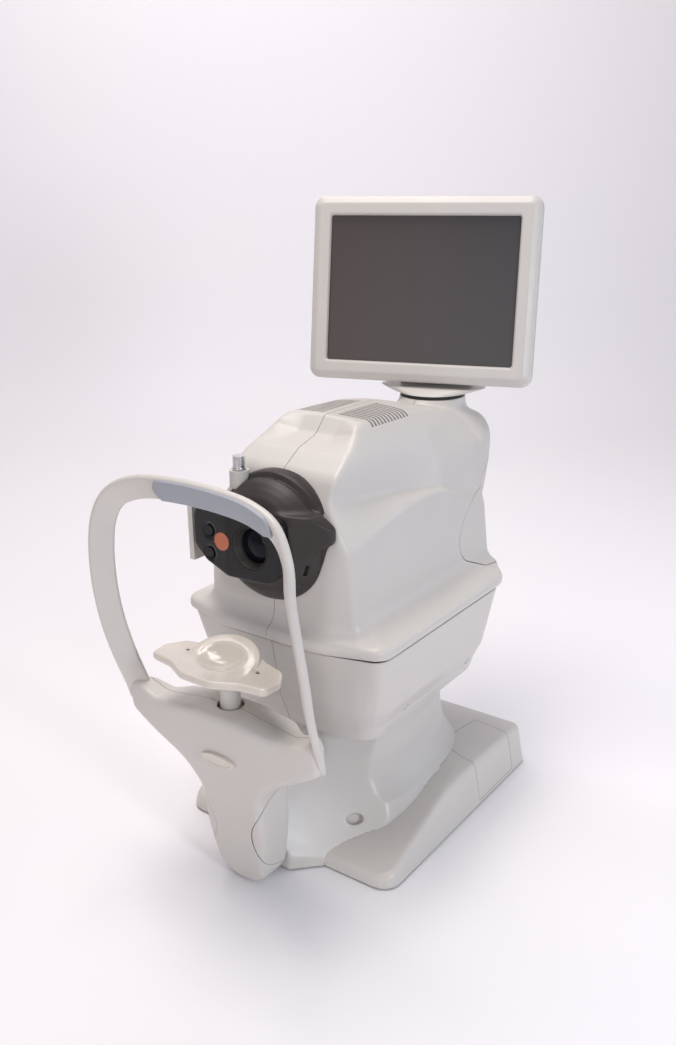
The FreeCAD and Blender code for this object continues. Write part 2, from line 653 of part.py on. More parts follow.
knuckle = knuckle.cut(rod_x(AXIS_BACK, AXIS_Z, -60, 60, 3.0))
knuckle = turn(knuckle, 0)
knuckle.translate(V(0, NECK_Y, 0))
knuckle = knuckle.cut(place_monitor(loft([screen_rect(hw - 0.5, hh - 0.5, 12, 17.4),
                                          screen_rect(hw - 6, hh - 6, 12, 26), screen_rect(hw - 26,
                                                                                           hh - 26, 16, 40)])))
save("monitor_foot", largest(knuckle))
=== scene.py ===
import json
import math

import bmesh
import bpy
import numpy as np
import openvdb
from mathutils import Matrix, Vector


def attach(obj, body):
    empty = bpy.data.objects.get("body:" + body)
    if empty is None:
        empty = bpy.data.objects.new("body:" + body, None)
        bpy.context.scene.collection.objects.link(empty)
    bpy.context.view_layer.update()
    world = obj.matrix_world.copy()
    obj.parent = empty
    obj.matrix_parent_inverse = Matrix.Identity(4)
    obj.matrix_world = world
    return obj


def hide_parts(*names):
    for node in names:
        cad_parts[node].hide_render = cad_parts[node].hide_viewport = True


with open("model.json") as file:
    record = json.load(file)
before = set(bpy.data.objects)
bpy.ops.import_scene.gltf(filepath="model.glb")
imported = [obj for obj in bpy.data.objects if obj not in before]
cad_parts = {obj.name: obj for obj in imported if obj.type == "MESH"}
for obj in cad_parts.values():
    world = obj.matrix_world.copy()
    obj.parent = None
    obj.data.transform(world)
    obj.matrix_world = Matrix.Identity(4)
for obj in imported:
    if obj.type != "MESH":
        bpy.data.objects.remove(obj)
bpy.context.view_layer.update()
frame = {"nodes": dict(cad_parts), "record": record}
NODES = frame["nodes"]
MM = 0.001

# Driving sizes, in millimetres like every distance in the shape functions below
WALL = 3.0
SEAM = 0.7
LENS_Z = 355.0
NECK_Y = 142.0
NECK_R = 38.0
SCREEN_W = 216.0
SCREEN_H = 162.0
MONITOR_W = 260.0
MONITOR_H = 206.0
MONITOR_YAW = math.radians(16.9)
MONITOR_TILT = math.radians(8.7)
SCREEN_CENTRE = Vector((-12.8, 131.6, 562.2))
RECESS_SPOT = Vector((65, -114.2, 40))
LAMP_X = -54
LAMP_HEIGHTS = (362, 339)
SENSOR_X = -35
SLOT_COUNT = 12
SLOT_PITCH = 5.8
SLOT_HALF = 1.6
TILT_AXIS_BACK = 20.0
TILT_AXIS_Z = 463.0


# ------------------------------------------------------------------ distance fields
def smooth_min(a, b, k):
    h = np.clip(0.5 + 0.5 * (b - a) / k, 0, 1)
    return b * (1 - h) + a * h - k * h * (1 - h)


def smooth_max(a, b, k):
    return -smooth_min(-a, -b, k)


def outline(corners, steps=6):
    """Dense closed outline through (u, v, radius) corners, each rounded by an arc."""
    points = []
    count = len(corners)
    for i, (u, v, radius) in enumerate(corners):
        here = Vector((u, v))
        a = (Vector(corners[i - 1][:2]) - here).normalized()
        b = (Vector(corners[(i + 1) % count][:2]) - here).normalized()
        half = math.acos(max(-1.0, min(1.0, a.dot(b)))) / 2
        if radius == 0 or half > math.pi / 2 - 0.02:
            points.append(here)
            continue
        centre = here + (a + b).normalized() * (radius / math.sin(half))
        start = here + a * (radius / math.tan(half)) - centre
        end = here + b * (radius / math.tan(half)) - centre
        for s in range(steps + 1):
            t = s / steps
            points.append(centre + (start * (1 - t) + end * t).normalized() * radius)
    return [(p.x, p.y) for p in points]


def mirrored(right):
    return right + [(-u, v, r) for u, v, r in reversed(right)]


def polygon(points, u, v):
    """Signed distance to a closed outline, negative inside."""
    u, v = np.broadcast_arrays(u, v)
    best = np.full(u.shape, 1e9, np.float32)
    inside = np.zeros(u.shape, bool)
    count = len(points)
    for i in range(count):
        ax, ay = points[i]
        bx, by = points[(i + 1) % count]
        ex, ey = bx - ax, by - ay
        wx, wy = u - ax, v - ay
        t = np.clip((wx * ex + wy * ey) / max(ex * ex + ey * ey, 1e-9), 0, 1)
        best = np.minimum(best, (wx - ex * t) ** 2 + (wy - ey * t) ** 2)
        if ay != by:
            crosses = ((ay > v) != (by > v)) & (u < ex * (v - ay) / (by - ay) + ax)
            inside ^= crosses
    best = np.sqrt(best)
    return np.where(inside, -best, best)


def line_side(u, v, a, b):
    """Distance outside the directed line a to b, whose solid lies on its left."""
    ex = b[0] - a[0]
    ey = b[1] - a[1]
    return ((u - a[0]) * ey - (v - a[1]) * ex) / np.hypot(ex, ey)


def convex(u, v, points, k):
    """Open chain of lines with the solid on the left, corners softened by k."""
    result = None
    for a, b in zip(points, points[1:]):
        side = line_side(u, v, a, b)
        result = side if result is None else smooth_max(result, side, k)
    return result


def ramp(value, keys):
    return np.interp(value, [k[0] for k in keys], [k[1] for k in keys])


def ball(s, centre, radius):
    x, y, z = centre
    return np.sqrt((s.x - x) ** 2 + (s.y - y) ** 2 + (s.z - z) ** 2) - radius


def along(s, start, axis):
    """Distance of each sample point from start along an axis."""
    return (s.x - start.x) * axis.x + (s.y - start.y) * axis.y + (s.z - start.z) * axis.z


class Space:
    """Grid of sample points. With mirror, only x >= 0 is worked out."""

    def __init__(self, low, high, voxel, mirror=True):
        self.voxel = voxel
        self.mirror = mirror
        start = 0.0 if mirror else low[0]
        self.low = (start, low[1], low[2])
        axes = [np.arange(a, b + voxel, voxel) for a, b in zip(self.low, high)]
        self.x = axes[0][:, None, None]
        self.y = axes[1][None, :, None]
        self.z = axes[2][None, None, :]
        self.shape = tuple(len(a) for a in axes)

    def mesh(self, name, field):
        field = np.broadcast_to(field, self.shape).astype(np.float32)
        low = list(self.low)
        if self.mirror:
            field = np.concatenate([field[:0:-1], field], axis=0)
            low[0] = -self.voxel * (self.shape[0] - 1)
        field = np.pad(field, 1, constant_values=4 * self.voxel)
        grid = openvdb.FloatGrid(4 * self.voxel)
        grid.copyFromArray(np.clip(field, -4 * self.voxel, 4 * self.voxel))
        points, quads = grid.convertToQuads(0.0)
        points = (points - 1) * self.voxel + np.array(low)
        mesh = bpy.data.meshes.new(name)
        mesh.from_pydata((points * MM).tolist(), [], quads[:, ::-1].tolist())
        mesh.update()
        return add(name, mesh)


def add(name, mesh):
    piece = bpy.data.objects.new(name, mesh)
    bpy.context.scene.collection.objects.link(piece)
    return piece


# ------------------------------------------------------------------ mesh helpers
def prism(points, place, depth):
    """Closed prism from a flat outline, where place(u, v, w) gives millimetres."""
    bm = bmesh.new()
    lower = [bm.verts.new(Vector(place(u, v, depth[0])) * MM) for u, v in points]
    upper = [bm.verts.new(Vector(place(u, v, depth[1])) * MM) for u, v in points]
    bm.faces.new(lower)
    bm.faces.new(upper)
    for i in range(len(points)):
        j = (i + 1) % len(points)
        bm.faces.new((lower[i], lower[j], upper[j], upper[i]))
    bmesh.ops.recalc_face_normals(bm, faces=bm.faces)
    mesh = bpy.data.meshes.new("cutter")
    bm.to_mesh(mesh)
    bm.free()
    return add("cutter", mesh)


def across_prism(points):
    """Prism through the whole width from an outline in the side view."""
    return prism(points, lambda u, v, w: (w, u, v), (-200, 200))


def block(low, high):
    points = [(low[0], low[1]), (high[0], low[1]), (high[0], high[1]), (low[0], high[1])]
    return prism(points, lambda u, v, w: (u, v, w), (low[2], high[2]))


def tube(centre, axis, radius, depth, count=48):
    """Closed cylinder along x, y or z."""
    points = []
    for i in range(count):
        a = 2 * math.pi * i / count
        points.append((radius * math.cos(a), radius * math.sin(a)))
    places = {
        "x": lambda u, v, w: (w, centre[0] + u, centre[1] + v),
        "y": lambda u, v, w: (centre[0] + u, w, centre[1] + v),
        "z": lambda u, v, w: (centre[0] + u, centre[1] + v, w),
    }
    return prism(points, places[axis], depth)


def merge(pieces):
    bm = bmesh.new()
    for piece in pieces:
        bm.from_mesh(piece.data)
    mesh = bpy.data.meshes.new("cutter")
    bm.to_mesh(mesh)
    bm.free()
    for piece in pieces:
        bpy.data.objects.remove(piece)
    return add("cutter", mesh)


def combine(piece, cutter, operation):
    """Cuts or joins the cutter into the piece, and uses the cutter up."""
    modifier = piece.modifiers.new("cut", "BOOLEAN")
    modifier.operation = operation
    modifier.solver = "MANIFOLD"
    modifier.object = cutter
    evaluated = piece.evaluated_get(bpy.context.evaluated_depsgraph_get())
    mesh = bpy.data.meshes.new_from_object(evaluated)
    piece.modifiers.clear()
    old = piece.data
    piece.data = mesh
    bpy.data.meshes.remove(old)
    bpy.data.objects.remove(cutter)


def copy_of(piece, name):
    twin = piece.copy()
    twin.data = piece.data.copy()
    twin.name = name
    bpy.context.scene.collection.objects.link(twin)
    return twin


def drop_crumbs(piece, share=0.02):
    """Removes loose bits far smaller than the piece itself."""
    bm = bmesh.new()
    bm.from_mesh(piece.data)
    seen = set()
    islands = []
    for start in bm.verts:
        if start in seen:
            continue
        stack = [start]
        island = []
        seen.add(start)
        while stack:
            vert = stack.pop()
            island.append(vert)
            for edge in vert.link_edges:
                other = edge.other_vert(vert)
                if other not in seen:
                    seen.add(other)
                    stack.append(other)
        islands.append(island)
    largest = max(len(i) for i in islands)
    for island in islands:
        if len(island) < largest * share:
            bmesh.ops.delete(bm, geom=island, context="VERTS")
    bm.to_mesh(piece.data)
    bm.free()


def finish_mesh(piece, angle=32.0, relax=2):
    """Softens the grid's steps away from the cut edges and marks crisp edges."""
    bm = bmesh.new()
    bm.from_mesh(piece.data)
    bmesh.ops.remove_doubles(bm, verts=bm.verts, dist=1e-6)
    limit = math.radians(angle)
    crisp = set()
    for edge in bm.edges:
        sharp = len(edge.link_faces) != 2 or edge.calc_face_angle(0) > limit
        edge.smooth = not sharp
        if sharp:
            crisp.update(edge.verts)
    soft = [v for v in bm.verts if v not in crisp]
    for _ in range(relax):
        bmesh.ops.smooth_vert(bm, verts=soft, factor=0.5, use_axis_x=True, use_axis_y=True, use_axis_z=True)
    for face in bm.faces:
        face.smooth = True
    bm.to_mesh(piece.data)
    bm.free()


def settle(piece, body, material, replaced):
    """Gives a finished piece its material, its body and the nodes that it stands for."""
    piece.data.materials.clear()
    piece.data.materials.append(material)
    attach(piece, body)
    for node in replaced:
        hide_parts(node)


# ------------------------------------------------------------------ materials
def new_material(name):
    material = bpy.data.materials.new(name)
    material.use_nodes = True
    nodes = material.node_tree.nodes
    shader = nodes["Principled BSDF"]
    return material, nodes, material.node_tree.links, shader


def noise(nodes, links, coords, scale, detail=3.0, rough=0.55):
    node = nodes.new("ShaderNodeTexNoise")
    node.inputs["Scale"].default_value = scale
    node.inputs["Detail"].default_value = detail
    node.inputs["Roughness"].default_value = rough
    links.new(coords.outputs["Object"], node.inputs["Vector"])
    return node


def spread(nodes, links, source, low, high, to_low, to_high):
    node = nodes.new("ShaderNodeMapRange")
    node.inputs["From Min"].default_value = low
    node.inputs["From Max"].default_value = high
    node.inputs["To Min"].default_value = to_low
    node.inputs["To Max"].default_value = to_high
    links.new(source, node.inputs["Value"])
    return node


def mix_colour(nodes, links, factor, a, b):
    node = nodes.new("ShaderNodeMix")
    node.data_type = "RGBA"
    links.new(factor, node.inputs["Factor"])
    for socket, value in (("A", a), ("B", b)):
        target = [s for s in node.inputs if s.name == socket and s.type == "RGBA"][0]
        if isinstance(value, tuple):
            target.default_value = (*value, 1)
        else:
            links.new(value, target)
    return [s for s in node.outputs if s.type == "RGBA"][0]


def add_bump(nodes, links, shader, layers):
    """layers: (height socket, strength, distance) from coarse to fine."""
    previous = None
    for height, strength, distance in layers:
        node = nodes.new("ShaderNodeBump")
        node.inputs["Strength"].default_value = strength
        node.inputs["Distance"].default_value = distance
        links.new(height, node.inputs["Height"])
        if previous:
            links.new(previous.outputs["Normal"], node.inputs["Normal"])
        previous = node
    links.new(previous.outputs["Normal"], shader.inputs["Normal"])


def moulded(name, colour, tint, rough, grain=0.12, grain_scale=900.0, coat=0.0, scuffs=True, shine=0.45):
    """Moulded plastic: fine spark grain, slow tone drift, faint handling marks."""
    material, nodes, links, shader = new_material(name)
    coords = nodes.new("ShaderNodeTexCoord")
    drift = noise(nodes, links, coords, 7.0, 4.0)
    fine = noise(nodes, links, coords, grain_scale, 2.0, 0.7)
    wipe = noise(nodes, links, coords, 38.0, 6.0, 0.65)
    tone = spread(nodes, links, drift.outputs["Fac"], 0.35, 0.7, 0.0, 1.0)
    base = mix_colour(nodes, links, tone.outputs["Result"], colour, tint)
    if scuffs:
        marks = spread(nodes, links, wipe.outputs["Fac"], 0.66, 0.80, 0.0, 0.35)
        dirt = tuple(c * 0.86 for c in colour)
        base = mix_colour(nodes, links, marks.outputs["Result"], base, dirt)
    links.new(base, shader.inputs["Base Color"])
    gloss = spread(nodes, links, wipe.outputs["Fac"], 0.3, 0.75, rough - 0.05, rough + 0.09)
    links.new(gloss.outputs["Result"], shader.inputs["Roughness"])
    shader.inputs["Coat Weight"].default_value = coat
    shader.inputs["Coat Roughness"].default_value = 0.12
    shader.inputs["Specular IOR Level"].default_value = shine
    slow = noise(nodes, links, coords, 16.0, 2.0)
    add_bump(nodes, links, shader, [(slow.outputs["Fac"], 0.05, 0.001),
                                    (fine.outputs["Fac"], grain, 0.00025)])
    return material


def metal(name, colour, rough, stretch=(1, 1, 40), bump=0.08):
    material, nodes, links, shader = new_material(name)
    coords = nodes.new("ShaderNodeTexCoord")
    mapping = nodes.new("ShaderNodeMapping")
    mapping.inputs["Scale"].default_value = stretch
    links.new(coords.outputs["Object"], mapping.inputs["Vector"])
    streak = nodes.new("ShaderNodeTexNoise")
    streak.inputs["Scale"].default_value = 120.0
    streak.inputs["Detail"].default_value = 5.0
    links.new(mapping.outputs["Vector"], streak.inputs["Vector"])
    base = mix_colour(nodes, links, streak.outputs["Fac"], tuple(c * 0.82 for c in colour), colour)
    links.new(base, shader.inputs["Base Color"])
    shader.inputs["Metallic"].default_value = 1.0
    gloss = spread(nodes, links, streak.outputs["Fac"], 0.3, 0.7, rough, rough + 0.12)
    links.new(gloss.outputs["Result"], shader.inputs["Roughness"])
    add_bump(nodes, links, shader, [(streak.outputs["Fac"], bump, 0.0002)])
    return material


def glassy(name, colour, rough, coat):
    """Dark display or filter glass with faint smears."""
    material, nodes, links, shader = new_material(name)
    coords = nodes.new("ShaderNodeTexCoord")
    smear = noise(nodes, links, coords, 22.0, 5.0, 0.6)
    dust = noise(nodes, links, coords, 1400.0, 1.0)
    tone = spread(nodes, links, smear.outputs["Fac"], 0.35, 0.75, 0.0, 1.0)
    base = mix_colour(nodes, links, tone.outputs["Result"], colour, tuple(c * 1.25 + 0.004 for c in colour))
    specks = spread(nodes, links, dust.outputs["Fac"], 0.78, 0.86, 0.0, 0.25)
    base = mix_colour(nodes, links, specks.outputs["Result"], base, (0.35, 0.34, 0.33))
    links.new(base, shader.inputs["Base Color"])
    gloss = spread(nodes, links, smear.outputs["Fac"], 0.3, 0.8, rough, rough + 0.12)
    links.new(gloss.outputs["Result"], shader.inputs["Roughness"])
    shader.inputs["Coat Weight"].default_value = coat
    shader.inputs["Coat Roughness"].default_value = 0.05
    return material


def display(name):
    """Switched-off matt screen with a painted reflection, a shade warmer and lighter towards its lower left
    and cooler towards its right.
    """
    material, nodes, links, shader = new_material(name)
    coords = nodes.new("ShaderNodeTexCoord")
    split = nodes.new("ShaderNodeSeparateXYZ")
    links.new(coords.outputs["Generated"], split.inputs["Vector"])
    # Painted reflection: the screen's colour runs from warm and lighter at its left to cool at its right.
    across = spread(nodes, links, split.outputs["X"], 0.0, 1.0, 0.0, 1.0)
    base = mix_colour(nodes, links, across.outputs["Result"], (0.066, 0.046, 0.042), (0.042, 0.042, 0.047))
    fine = noise(nodes, links, coords, 1800.0, 2.0, 0.6)
    smear = noise(nodes, links, coords, 9.0, 2.0, 0.4)
    tone = spread(nodes, links, smear.outputs["Fac"], 0.3, 0.7, 0.0, 0.25)
    base = mix_colour(nodes, links, tone.outputs["Result"], base, (0.075, 0.07, 0.07))
    links.new(base, shader.inputs["Base Color"])
    gloss = spread(nodes, links, smear.outputs["Fac"], 0.3, 0.7, 0.30, 0.36)
    links.new(gloss.outputs["Result"], shader.inputs["Roughness"])
    add_bump(nodes, links, shader, [(fine.outputs["Fac"], 0.06, 0.0001)])
    return material


def optical(name):
    material, nodes, links, shader = new_material(name)
    coords = nodes.new("ShaderNodeTexCoord")
    smear = noise(nodes, links, coords, 60.0, 4.0)
    tint = mix_colour(nodes, links, smear.outputs["Fac"], (0.004, 0.005, 0.010), (0.007, 0.006, 0.010))
    links.new(tint, shader.inputs["Base Color"])
    gloss = spread(nodes, links, smear.outputs["Fac"], 0.3, 0.8, 0.03, 0.08)
    links.new(gloss.outputs["Result"], shader.inputs["Roughness"])
    shader.inputs["Coat Weight"].default_value = 0.12
    shader.inputs["Specular IOR Level"].default_value = 0.12
    shader.inputs["Coat Roughness"].default_value = 0.02
    shader.inputs["Coat Tint"].default_value = (0.62, 0.66, 1.0, 1.0)
    return material


def circuit(name):
    material, nodes, links, shader = new_material(name)
    coords = nodes.new("ShaderNodeTexCoord")
    tracks = nodes.new("ShaderNodeTexBrick")
    tracks.inputs["Scale"].default_value = 260.0
    tracks.inputs["Color1"].default_value = (0.02, 0.14, 0.06, 1)
    tracks.inputs["Color2"].default_value = (0.03, 0.18, 0.08, 1)
    tracks.inputs["Mortar"].default_value = (0.05, 0.28, 0.12, 1)
    links.new(coords.outputs["Object"], tracks.inputs["Vector"])
    links.new(tracks.outputs["Color"], shader.inputs["Base Color"])
    shader.inputs["Roughness"].default_value = 0.35
    add_bump(nodes, links, shader, [(tracks.outputs["Fac"], 0.3, 0.0001)])
    return material


WHITE = (0.640, 0.605, 0.570)
MATERIALS = {
    "shell_white": moulded("shell_white", WHITE, (0.612, 0.585, 0.556), 0.34),
    "gloss_cream": moulded("gloss_cream", (0.70, 0.635, 0.56), (0.67, 0.61, 0.545), 0.16, 0.02, 500.0,
                           0.6, False),
    "pad_grey": moulded("pad_grey", (0.36, 0.375, 0.42), (0.32, 0.335, 0.385), 0.42, 0.35, 1400.0),
    "hood_black": moulded("hood_black", (0.034, 0.029, 0.027), (0.044, 0.037, 0.035), 0.46, 0.30, 1500.0,
                          shine=0.34),
    "face_black": moulded("face_black", (0.009, 0.009, 0.010), (0.014, 0.013, 0.014), 0.26, 0.03, 700.0,
                          0.0, shine=0.32),
    "plastic_dark": moulded("plastic_dark", (0.045, 0.045, 0.048), (0.06, 0.06, 0.062), 0.45, 0.25, 1200.0),
    "rubber_black": moulded("rubber_black", (0.018, 0.018, 0.018), (0.03, 0.03, 0.03), 0.72, 0.4, 1600.0),
    "sensor_orange": glassy("sensor_orange", (0.46, 0.125, 0.055), 0.30, 0.3),
    "screen_glass": display("screen_glass"),
    "lens_glass": optical("lens_glass"),
    "steel": metal("steel", (0.58, 0.59, 0.61), 0.26),
    "chrome": metal("chrome", (0.72, 0.72, 0.73), 0.16, (1, 1, 4)),
    "alloy": metal("alloy", (0.60, 0.61, 0.63), 0.38, (30, 1, 1)),
    "bronze": metal("bronze", (0.50, 0.33, 0.15), 0.35),
    "painted_grey": moulded("painted_grey", (0.24, 0.245, 0.25), (0.27, 0.27, 0.275), 0.42, 0.3, 1100.0),
    "board_green": circuit("board_green"),
}
for part in frame["record"]["subparts"]:
    node = NODES[part["node"]]
    node.data.materials.clear()
    node.data.materials.append(MATERIALS[part["material_slot"]])
SHELL = MATERIALS["shell_white"]


# ------------------------------------------------------------------ base
def base_field(s):
    plan = polygon(outline(mirrored([(137, -157, 20), (137, 157, 18)])), s.x, s.y)
    plan = plan + 0.17 * np.clip(s.z - 4, 0, 80)
    top_line = [(170, 44), (152, 54), (110, 58), (40, 63), (-30, 56), (-100, 37), (-150, 21), (-175, 10)]
    top = convex(s.y, s.z, top_line, 10)
    crown = convex(s.x, s.z, [(150, 30), (126, 56), (62, 61.5), (0, 63)], 8)
    return smooth_max(smooth_max(plan, top, 5.5), crown, 5)


def panel_cutter(gap):
    """Space of the access panel on the foot, grown by a gap."""
    line = outline([(77 - gap, 48 - gap, 3), (112, 34 - gap, 0), (150, 34 - gap, 0), (150, 113 + gap, 0),
                    (112, 116 + gap, 0), (82 - gap, 119 + gap, 3)])
    return prism(line, lambda u, v, w: (u, v, w), (9 - gap, 80))


def build_base():
    s = Space((0, -160, 0), (140, 160, 68), 1.6)
    d = base_field(s)
    shell = np.maximum(np.maximum(d, -(d + WALL)), 4.2 - s.z)
    base = s.mesh("base_housing", shell)
    inner = pedestal_fields(s)
    hole = s.mesh("cutter", inner + 1.5)
    combine(base, hole, "DIFFERENCE")
    lid = copy_of(base, "base_access_panel")
    combine(lid, panel_cutter(0), "INTERSECT")
    combine(base, panel_cutter(SEAM), "DIFFERENCE")
    combine(base, block((-60, 140, 14), (60, 170, 44)), "DIFFERENCE")
    for piece in (base, lid):
        drop_crumbs(piece)
        finish_mesh(piece)
    settle(base, "base", SHELL, ["base_cover"])
    settle(lid, "base", SHELL, ["access_panel"])


# ------------------------------------------------------------------ pedestal
def pedestal_fields(s):
    """Waisted column that flares to an oval foot, with a rounded tongue in front."""
    half = ramp(s.z, [(0, 110), (44, 108), (56, 103), (66, 93), (78, 84), (95, 77), (114, 74), (132, 75),
                      (150, 78), (190, 86)])
    front = ramp(s.z, [(0, -165), (22, -162), (34, -158), (48, -145), (64, -130), (84, -119), (112, -112),
                       (140, -114), (190, -124)])
    rear = ramp(s.z, [(0, 124), (50, 120), (62, 108), (78, 99), (98, 94), (125, 90), (145, 82), (190, 72)])
    round_share = ramp(s.z, [(0, 1), (60, 1), (130, 0.45), (190, 0.2)])
    middle = -20.0
    reach = np.where(s.y < middle, middle - front, rear - middle)
    bulge = (np.abs(s.x / half) ** 2.4 + np.abs((s.y - middle) / reach) ** 2.4) ** (1 / 2.4)
    oval = (bulge - 1) * np.minimum(half, reach)
    radius = 42.0
    qx = np.abs(s.x) - (half - radius)
    qy = np.abs(s.y - middle) - (reach - radius)
    boxed = np.hypot(np.maximum(qx, 0), np.maximum(qy, 0)) + np.minimum(np.maximum(qx, qy), 0) - radius
    column = oval * round_share + boxed * (1 - round_share)
    wide = ramp(s.y, [(-184, 51), (-150, 60), (-110, 67), (-90, 68)])
    tall = ramp(s.y, [(-184, 74), (-150, 86), (-120, 106), (-90, 132)])
    barrel = (np.hypot(s.x / wide, s.z / tall) - 1) * np.minimum(wide, tall)
    tongue_edge = mirrored([(32, -183.6, 8), (40, -172, 12), (57, -146, 12), (66, -80, 0)])
    tongue_plan = polygon(outline(tongue_edge), s.x, s.y)
    tongue = smooth_max(barrel, tongue_plan, 2.5)
    column = smooth_min(column, tongue, 20)
    toward = Vector((0.64, -0.64, 0.42)).normalized()
    dish_centre = Vector((54, -121, 68)) + toward * 294
    dish = ball(s, dish_centre, 300)
    column = smooth_max(column, -dish, 1.5)
    aim = Vector((0.62, -0.58, 0.53)).normalized()
    side = Vector((0, 0, 1)).cross(aim).normalized()
    rise = aim.cross(side)
    u, v, w = [along(s, RECESS_SPOT, axis) for axis in (side, rise, aim)]
    oval_hole = (np.hypot(u / 9.0, v / 5.6) - 1) * 5.6
    recess = np.maximum(oval_hole, -(w + 4.5))
    return smooth_max(column, -recess, 1.2)


def build_pedestal():
    s = Space((0, -188, 0), (112, 128, 188), 1.6)
    d = pedestal_fields(s)
    shell = np.maximum(np.maximum(d, -(d + WALL)), np.maximum(4.5 - s.z, s.z - 186))
    shell = np.maximum(shell, -(base_field(s) + 0.3))
    piece = s.mesh("pedestal_housing", shell)
    drop_crumbs(piece, 0.2)
    finish_mesh(piece)
    settle(piece, "base", SHELL, ["pedestal_cover"])


# ------------------------------------------------------------------ skirt
def skirt_plan(s):
    """Plan of the skirt, whose corners stay rounded as it narrows downwards."""
    upper_edge = mirrored([(60, -163, 90), (122, -147, 18), (122, 88, 24), (88, 116, 30)])
    lower_edge = mirrored([(60, -163, 90), (122, -147, 46), (122, 88, 46), (88, 116, 40)])
    upper = polygon(outline(upper_edge), s.x, s.y)
    lower = polygon(outline(lower_edge), s.x, s.y)
    share = np.clip((250 - s.z) / 80, 0, 1)
    return upper * (1 - share) + lower * share


def build_skirt():
    s = Space((0, -166, 144), (126, 120, 252), 1.6)
    narrowing = ramp(s.z, [(144, 28), (147, 26.5), (160, 21.8), (163, 21.4), (181, 12.8), (184, 11.8),
                           (250, 0), (256, -1)])
    d = skirt_plan(s) + narrowing
    ends = np.maximum(147.5 - s.z, s.z - 250)
    shell = smooth_max(smooth_max(d, -(d + WALL), 1.0), ends, 1.6)
    piece = s.mesh("skirt", shell)
    holes = []
    for y in (-73, 55):
        holes.append(tube((y, 166), "x", 3.6, (-140, 140), 32))
    combine(piece, merge(holes), "DIFFERENCE")
    split_halves(piece, "skirt_housing", "lift", ("skirt_left", "skirt_right"))


def split_halves(piece, name, body, nodes):
    """Splits a housing along its middle seam and settles both halves."""
    for side, node in zip((-1, 1), nodes):
        half = copy_of(piece, f"{name}_{'left' if side < 0 else 'right'}")
        a, b = sorted((side * SEAM / 2, side * 300.0))
        combine(half, block((a, -300, -10), (b, 300, 700)), "INTERSECT")
        drop_crumbs(half)
        finish_mesh(half)
        settle(half, body, SHELL, [node])
    bpy.data.objects.remove(piece)


# ------------------------------------------------------------------ head
HEAD_PROFILE = [(-158, 240, 0), (120, 240, 0), (116, 430, 10), (92, 441, 40), (22, 461, 40), (-68, 460, 5),
                (-84, 443.5, 12), (-112, 435.5, 40), (-138, 419, 22), (-152, 380, 30), (-157, 330, 60)]
PILLAR_PROFILE = [(30, 300, 0), (100, 262, 0), (130, 262, 8), (124, 296, 24), (137, 332, 50),
                  (164, 372, 50), (176, 402, 40), (178, 424, 16), (140, 434, 60), (70, 438, 0), (30, 430, 0)]
PILLAR_EDGE = [(84, 250, 0), (79, 300, 60), (75, 350, 60), (70, 402, 24), (38, 436, 30)]


def head_section(s):
    """Cross-section of the housing: roof, flank, hollow side, sloping ledge and side wall."""
    ridge = ramp(s.y, [(-160, 350), (-99, 366), (-50, 375.6), (-8, 377), (26, 371.5), (73, 352),
                       (120, 335)])
    ledge_x = ramp(s.y, [(-150, 60), (-97, 64), (-30, 71), (26, 79), (120, 83)])
    ledge_z = ramp(s.y, [(-150, 401), (-97, 392), (-30, 383), (26, 375), (73, 357), (120, 340)])
    upper = ramp(s.y, [(-150, 423), (-105, 429.3), (-35, 432), (27, 433), (87, 420), (130, 408)])
    roof_edge = ramp(s.y, [(-150, 447), (-70, 459), (16, 455.5), (90, 446)])
    x = np.abs(s.x)
    wall = line_side(x, s.z, (94, 262), (86, ridge))
    band = line_side(x, s.z, (86, ridge), (ledge_x, ledge_z))
    hollow = line_side(x, s.z, (ledge_x, ledge_z), (64, upper))
    flank = line_side(x, s.z, (64, upper), (46, roof_edge))
    roof = line_side(x, s.z, (46, roof_edge), (0, roof_edge + 4.5))
    d = smooth_max(wall, smooth_min(band, hollow, 4), 3)
    return smooth_max(smooth_max(d, flank, 9), roof, 5)


def head_field(s):
    shelf_edge = mirrored([(60, -171, 90), (126, -151, 18), (126, 92, 40), (92, 133, 40)])
    plan = polygon(outline(shelf_edge), s.x, s.y)
    shelf_top = s.z - (264.5 + 0.33 * np.clip(-plan, 0, 60))
    shelf = smooth_max(smooth_max(plan, shelf_top, 5), 254.2 - s.z, 2)

    length = polygon(outline(mirrored([(110, -158, 0), (110, 118, 0)])), s.x, s.y)
    corner = line_side(np.abs(s.x), s.y, (60, -160), (92, -146))
    profile = polygon(outline(HEAD_PROFILE), s.y, s.z)
    step_fade = 7.0 * np.clip((np.abs(s.x) - 22) / 24, 0, 1) * np.exp(-((s.y + 84) / 15) ** 2)
    profile = profile - step_fade * np.clip((s.z - 430) / 10, 0, 1)
    body = smooth_max(smooth_max(head_section(s), corner, 7), smooth_max(length, profile, 4), 4)

    pillar_side = polygon(outline(PILLAR_PROFILE), s.y, s.z)
    pillar_front = polygon(outline(mirrored(PILLAR_EDGE)), s.x, s.z)
    pillar_plan = polygon(outline(mirrored([(90, 10, 0), (84, 110, 60), (62, 182, 34)])), s.x, s.y)
    pillar = smooth_max(smooth_max(pillar_side, pillar_front, 10), pillar_plan, 10)
    neck = smooth_max(np.hypot(s.x, s.y - NECK_Y) - NECK_R, s.z - 444, 1.5)

    body = smooth_min(body, pillar, 12)
    body = smooth_min(body, shelf, 15)
    body = smooth_min(body, neck, 10)
    above_neck = s.z - 444 - 100 * (np.hypot(s.x, s.y - NECK_Y) > NECK_R + 30)
    return np.maximum(body, above_neck)


